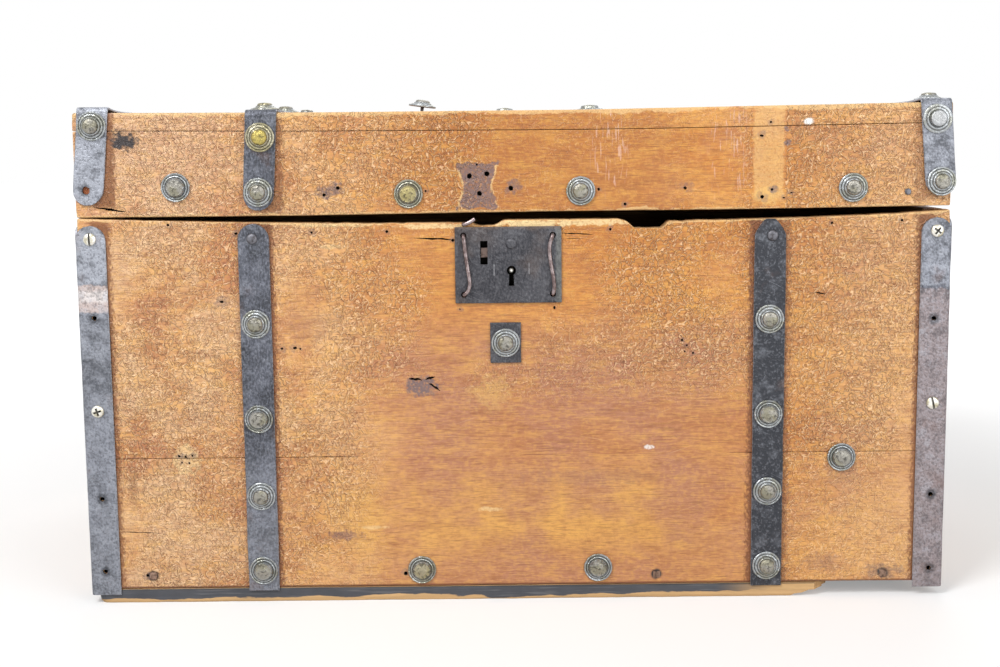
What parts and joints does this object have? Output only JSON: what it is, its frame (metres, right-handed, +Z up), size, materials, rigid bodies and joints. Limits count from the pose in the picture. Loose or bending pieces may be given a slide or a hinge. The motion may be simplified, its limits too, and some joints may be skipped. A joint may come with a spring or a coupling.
{
  "type": "flat top trunk",
  "caption": "Old flat top trunk of varnished pine boards bound with riveted iron straps, with a hinged lid, brimmed studs, a plate lock with a sliding bolt, and drop handles on its ends.",
  "frame": {"origin": "on the ground under the middle of the trunk's overall box", "axes": "+X along the trunk's length to the right as one faces it, -Y out of the front, +Z up"},
  "size_m": [0.689, 0.4013, 0.3815],
  "materials": {
    "varnished_pine": "old honey varnish, crackled and worn",
    "bare_pine": "dark, worn and unvarnished",
    "strap_iron": "blue-grey patina with rust",
    "lock_iron": "blackened and scratched",
    "stud_metal": "aged grey brass",
    "bare_steel": "dull, lightly rusted"
  },
  "bodies": {
    "chest": {"front_upper_board": "varnished_pine", "front_lower_board": "varnished_pine", "back_upper_board": "varnished_pine", "back_lower_board": "varnished_pine", "left_end_upper_board": "varnished_pine", "left_end_lower_board": "varnished_pine", "right_end_upper_board": "varnished_pine", "right_end_lower_board": "varnished_pine", "bottom_front_board": "bare_pine", "bottom_rear_board": "bare_pine", "front_strap_outer_left": "strap_iron", "front_strap_inner_left": "strap_iron", "front_strap_inner_right": "strap_iron", "front_strap_outer_right": "strap_iron", "back_strap_left": "strap_iron", "back_strap_right": "strap_iron", "hinge_left_body_leaf": "strap_iron", "hinge_right_body_leaf": "strap_iron", "hinge_left_pin": "bare_steel", "hinge_right_pin": "bare_steel", "lock_plate": "lock_iron", "lock_case": "lock_iron", "lock_spring": "bare_steel", "lock_key_pin": "bare_steel", "lock_rivet": "lock_iron", "lock_wire_left": "bare_steel", "lock_wire_right": "bare_steel", "front_stud_centre": "stud_metal", "front_stud_right": "stud_metal", "front_stud_bottom_left": "stud_metal", "front_stud_bottom_right": "stud_metal", "stud_washer_plate": "lock_iron", "left_handle_front_eye": "strap_iron", "left_handle_rear_eye": "strap_iron", "right_handle_front_eye": "strap_iron", "right_handle_rear_eye": "strap_iron"},
    "lid": {"lid_top_front_board": "varnished_pine", "lid_top_rear_board": "varnished_pine", "lid_front_board": "varnished_pine", "lid_back_board": "varnished_pine", "lid_left_end_board": "varnished_pine", "lid_right_end_board": "varnished_pine", "lid_strap_outer_left": "strap_iron", "lid_strap_inner_left": "strap_iron", "lid_strap_outer_right": "strap_iron", "lid_stud_far_left": "stud_metal", "lid_stud_left": "stud_metal", "lid_stud_right": "stud_metal", "lid_stud_far_right": "stud_metal", "lid_top_stud_left": "stud_metal", "lid_top_stud_centre": "stud_metal", "lid_top_stud_right": "stud_metal", "hinge_left_lid_leaf": "strap_iron", "hinge_right_lid_leaf": "strap_iron"},
    "bolt": {"lock_bolt": "bare_steel"},
    "left_handle": {"left_handle_bail": "strap_iron"},
    "right_handle": {"right_handle_bail": "strap_iron"}
  },
  "joints": [
    {"name": "lid_hinge", "type": "hinge", "parent": "chest", "child": "lid", "pos_m": [0, 0.197, 0.29475], "axis": [-1, 0, 0], "range_deg": [0, 105]},
    {"name": "lock_bolt_slide", "type": "slide", "parent": "chest", "child": "bolt", "axis": [1, 0, 0], "range_m": [0, 0.008]},
    {"name": "left_handle_swing", "type": "hinge", "parent": "chest", "child": "left_handle", "pos_m": [-0.3365, 0, 0.19], "axis": [0, 1, 0], "range_deg": [-10, 190]},
    {"name": "right_handle_swing", "type": "hinge", "parent": "chest", "child": "right_handle", "pos_m": [0.3365, 0, 0.19], "axis": [0, -1, 0], "range_deg": [-10, 190]}
  ]
}
